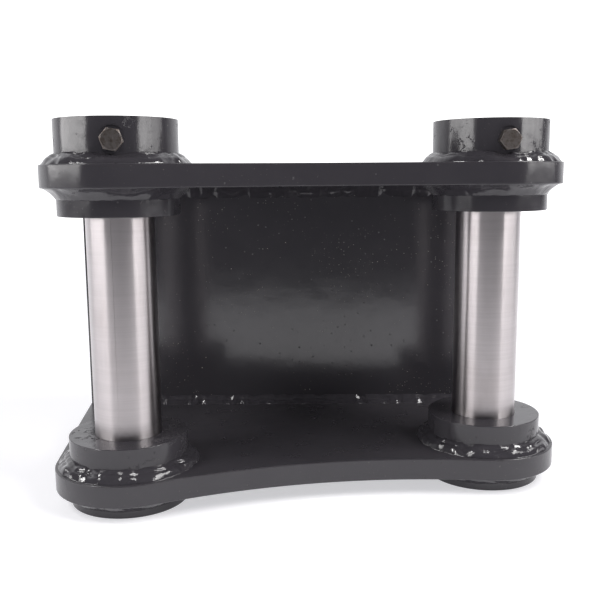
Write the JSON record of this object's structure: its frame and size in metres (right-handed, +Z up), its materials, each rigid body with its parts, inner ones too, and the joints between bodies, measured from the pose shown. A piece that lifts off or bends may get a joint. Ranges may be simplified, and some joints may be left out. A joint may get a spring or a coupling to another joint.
{
  "type": "quick coupler",
  "caption": "Excavator quick coupler: side plates round a deck, machine pins held by cross bolts, open claws, and lock pins driven apart by a spindle.",
  "frame": {"origin": "middle of the coupler's plan, at the level of the faces that it stands on", "axes": "+Z up along the machine pins, +X from the link pin to the arm pin, +Y from the machine side to the attachment side"},
  "size_m": [0.357, 0.292, 0.256],
  "materials": {
    "black_paint": "gloss black enamel over steel plate",
    "painted_weld": "gloss black enamel over weld bead",
    "ground_steel": "ground and brushed pin steel",
    "bolt_steel": "dull dark steel with light rust",
    "zinc_plate": "bright zinc plate",
    "lock_steel": "turned steel with a film of grease",
    "black_oxide": "black oxide",
    "yellow_zinc": "yellow zinc plate"
  },
  "bodies": {
    "frame": {"upper_side_plate": "black_paint", "lower_side_plate": "black_paint", "deck_plate": "black_paint", "deck_welds": "painted_weld", "arm_bolt_boss": "black_paint", "link_bolt_boss": "black_paint", "bolt_boss_welds": "painted_weld", "arm_upper_collar": "black_paint", "link_upper_collar": "black_paint", "upper_collar_welds": "painted_weld", "arm_lower_collar": "black_paint", "link_lower_collar": "black_paint", "lower_collar_welds": "painted_weld", "arm_end_boss": "black_paint", "link_end_boss": "black_paint", "end_boss_welds": "painted_weld", "arm_pin": "ground_steel", "link_pin": "ground_steel", "claw_web": "black_paint", "lock_web": "black_paint", "web_welds": "painted_weld", "upper_lock_sleeve": "black_paint", "lower_lock_sleeve": "black_paint", "lock_sleeve_welds": "painted_weld", "guide_screws": "black_oxide", "grease_nipples": "yellow_zinc", "spindle_bracket": "black_paint", "spindle_keepers": "black_paint", "keeper_screws": "zinc_plate"},
    "arm_bolt": {"arm_pin_bolt": "bolt_steel"},
    "arm_washer": {"arm_pin_washer": "zinc_plate"},
    "arm_nut": {"arm_pin_nut": "zinc_plate"},
    "link_bolt": {"link_pin_bolt": "bolt_steel"},
    "link_washer": {"link_pin_washer": "zinc_plate"},
    "link_nut": {"link_pin_nut": "zinc_plate"},
    "upper_lock": {"upper_lock_pin": "lock_steel"},
    "lower_lock": {"lower_lock_pin": "lock_steel"},
    "spindle": {"lock_spindle": "lock_steel"}
  },
  "joints": [
    {"name": "arm_bolt_pull", "type": "slide", "parent": "frame", "child": "arm_bolt", "axis": [-0.0872, -0.9962, 0], "range_m": [0, 0.095]},
    {"name": "arm_washer_slide", "type": "slide", "parent": "frame", "child": "arm_washer", "axis": [0.0872, 0.9962, 0], "range_m": [0, 0.014]},
    {"name": "arm_nut_spin", "type": "hinge", "parent": "arm_washer", "child": "arm_nut", "pos_m": [0.1285, -0.09601, 0.24175], "axis": [0.0872, 0.9962, 0], "range_deg": [0, 4030]},
    {"name": "link_bolt_pull", "type": "slide", "parent": "frame", "child": "link_bolt", "axis": [-0.0175, -0.9998, 0], "range_m": [0, 0.095]},
    {"name": "link_washer_slide", "type": "slide", "parent": "frame", "child": "link_washer", "axis": [0.0175, 0.9998, 0], "range_m": [0, 0.014]},
    {"name": "link_nut_spin", "type": "hinge", "parent": "link_washer", "child": "link_nut", "pos_m": [-0.1285, -0.09601, 0.24175], "axis": [0.0175, 0.9998, 0], "range_deg": [0, 4030]},
    {"name": "spindle_turn", "type": "hinge", "parent": "frame", "child": "spindle", "pos_m": [-0.11859, 0.1016, 0.11925], "axis": [0, 0, 1], "range_deg": [0, 3600]},
    {"name": "upper_lock_slide", "type": "slide", "parent": "frame", "child": "upper_lock", "axis": [0, 0, 1], "range_m": [0, 0.025]},
    {"name": "lower_lock_slide", "type": "slide", "parent": "frame", "child": "lower_lock", "axis": [0, 0, -1], "range_m": [0, 0.025]}
  ],
  "couplings": [
    {"joint": "arm_washer_slide", "follows": "arm_nut_spin", "m_per_rad": 0.00019894},
    {"joint": "link_washer_slide", "follows": "link_nut_spin", "m_per_rad": 0.00019894},
    {"joint": "upper_lock_slide", "follows": "spindle_turn", "m_per_rad": 0.00039788},
    {"joint": "lower_lock_slide", "follows": "spindle_turn", "m_per_rad": 0.00039788}
  ]
}
